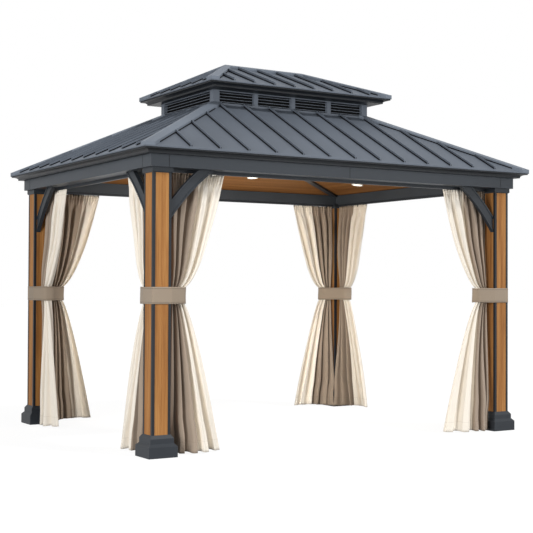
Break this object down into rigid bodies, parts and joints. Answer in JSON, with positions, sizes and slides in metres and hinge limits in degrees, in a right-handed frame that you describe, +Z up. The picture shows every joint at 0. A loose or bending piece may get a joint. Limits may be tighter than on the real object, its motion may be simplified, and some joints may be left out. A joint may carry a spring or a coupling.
{
  "type": "hardtop garden gazebo",
  "caption": "Open rectangular garden gazebo with clad square posts, curved braces, a two-tier standing-seam hip roof with a louvred lantern, and tied-back curtains at the corners.",
  "frame": {"origin": "middle of the plan on the ground", "axes": "+X along the long sides, +Z up"},
  "size_m": [3.866, 2.956, 3.329],
  "materials": {
    "dark_metal": "satin charcoal powder coat",
    "roof_sheet": "satin slate grey coated steel",
    "post_timber": "golden brown wood grain",
    "ceiling_timber": "brown wood grain boards",
    "light_lens": "white diffuser",
    "curtain_cloth": "cream and taupe woven cloth",
    "tie_cloth": "taupe woven cloth"
  },
  "bodies": {
    "root": {"post_front_left": "dark_metal", "post_front_right": "dark_metal", "post_back_left": "dark_metal", "post_back_right": "dark_metal", "post_bases": "dark_metal", "post_capitals": "dark_metal", "beam_front": "dark_metal", "beam_back": "dark_metal", "beam_left": "dark_metal", "beam_right": "dark_metal", "knee_braces": "dark_metal", "cornice_front": "dark_metal", "cornice_back": "dark_metal", "cornice_left": "dark_metal", "cornice_right": "dark_metal", "lantern_front": "dark_metal", "lantern_back": "dark_metal", "lantern_left": "dark_metal", "lantern_right": "dark_metal", "upper_cornice": "dark_metal", "ceiling_battens": "dark_metal", "curtain_rails": "dark_metal", "lower_roof_front": "roof_sheet", "lower_roof_back": "roof_sheet", "lower_roof_left": "roof_sheet", "lower_roof_right": "roof_sheet", "lower_hip_caps": "roof_sheet", "upper_roof_front": "roof_sheet", "upper_roof_back": "roof_sheet", "upper_roof_left": "roof_sheet", "upper_roof_right": "roof_sheet", "upper_caps": "roof_sheet", "post_panels": "post_timber", "ceiling_panels": "ceiling_timber", "ceiling_lights": "light_lens", "curtain_front_left": "curtain_cloth", "curtain_front_right": "curtain_cloth", "curtain_right_left": "curtain_cloth", "curtain_right_right": "curtain_cloth", "curtain_back_left": "curtain_cloth", "curtain_back_right": "curtain_cloth", "curtain_left_left": "curtain_cloth", "curtain_left_right": "curtain_cloth", "tie_front_left": "tie_cloth", "tie_front_right": "tie_cloth", "tie_back_left": "tie_cloth", "tie_back_right": "tie_cloth"}
  },
  "joints": []
}
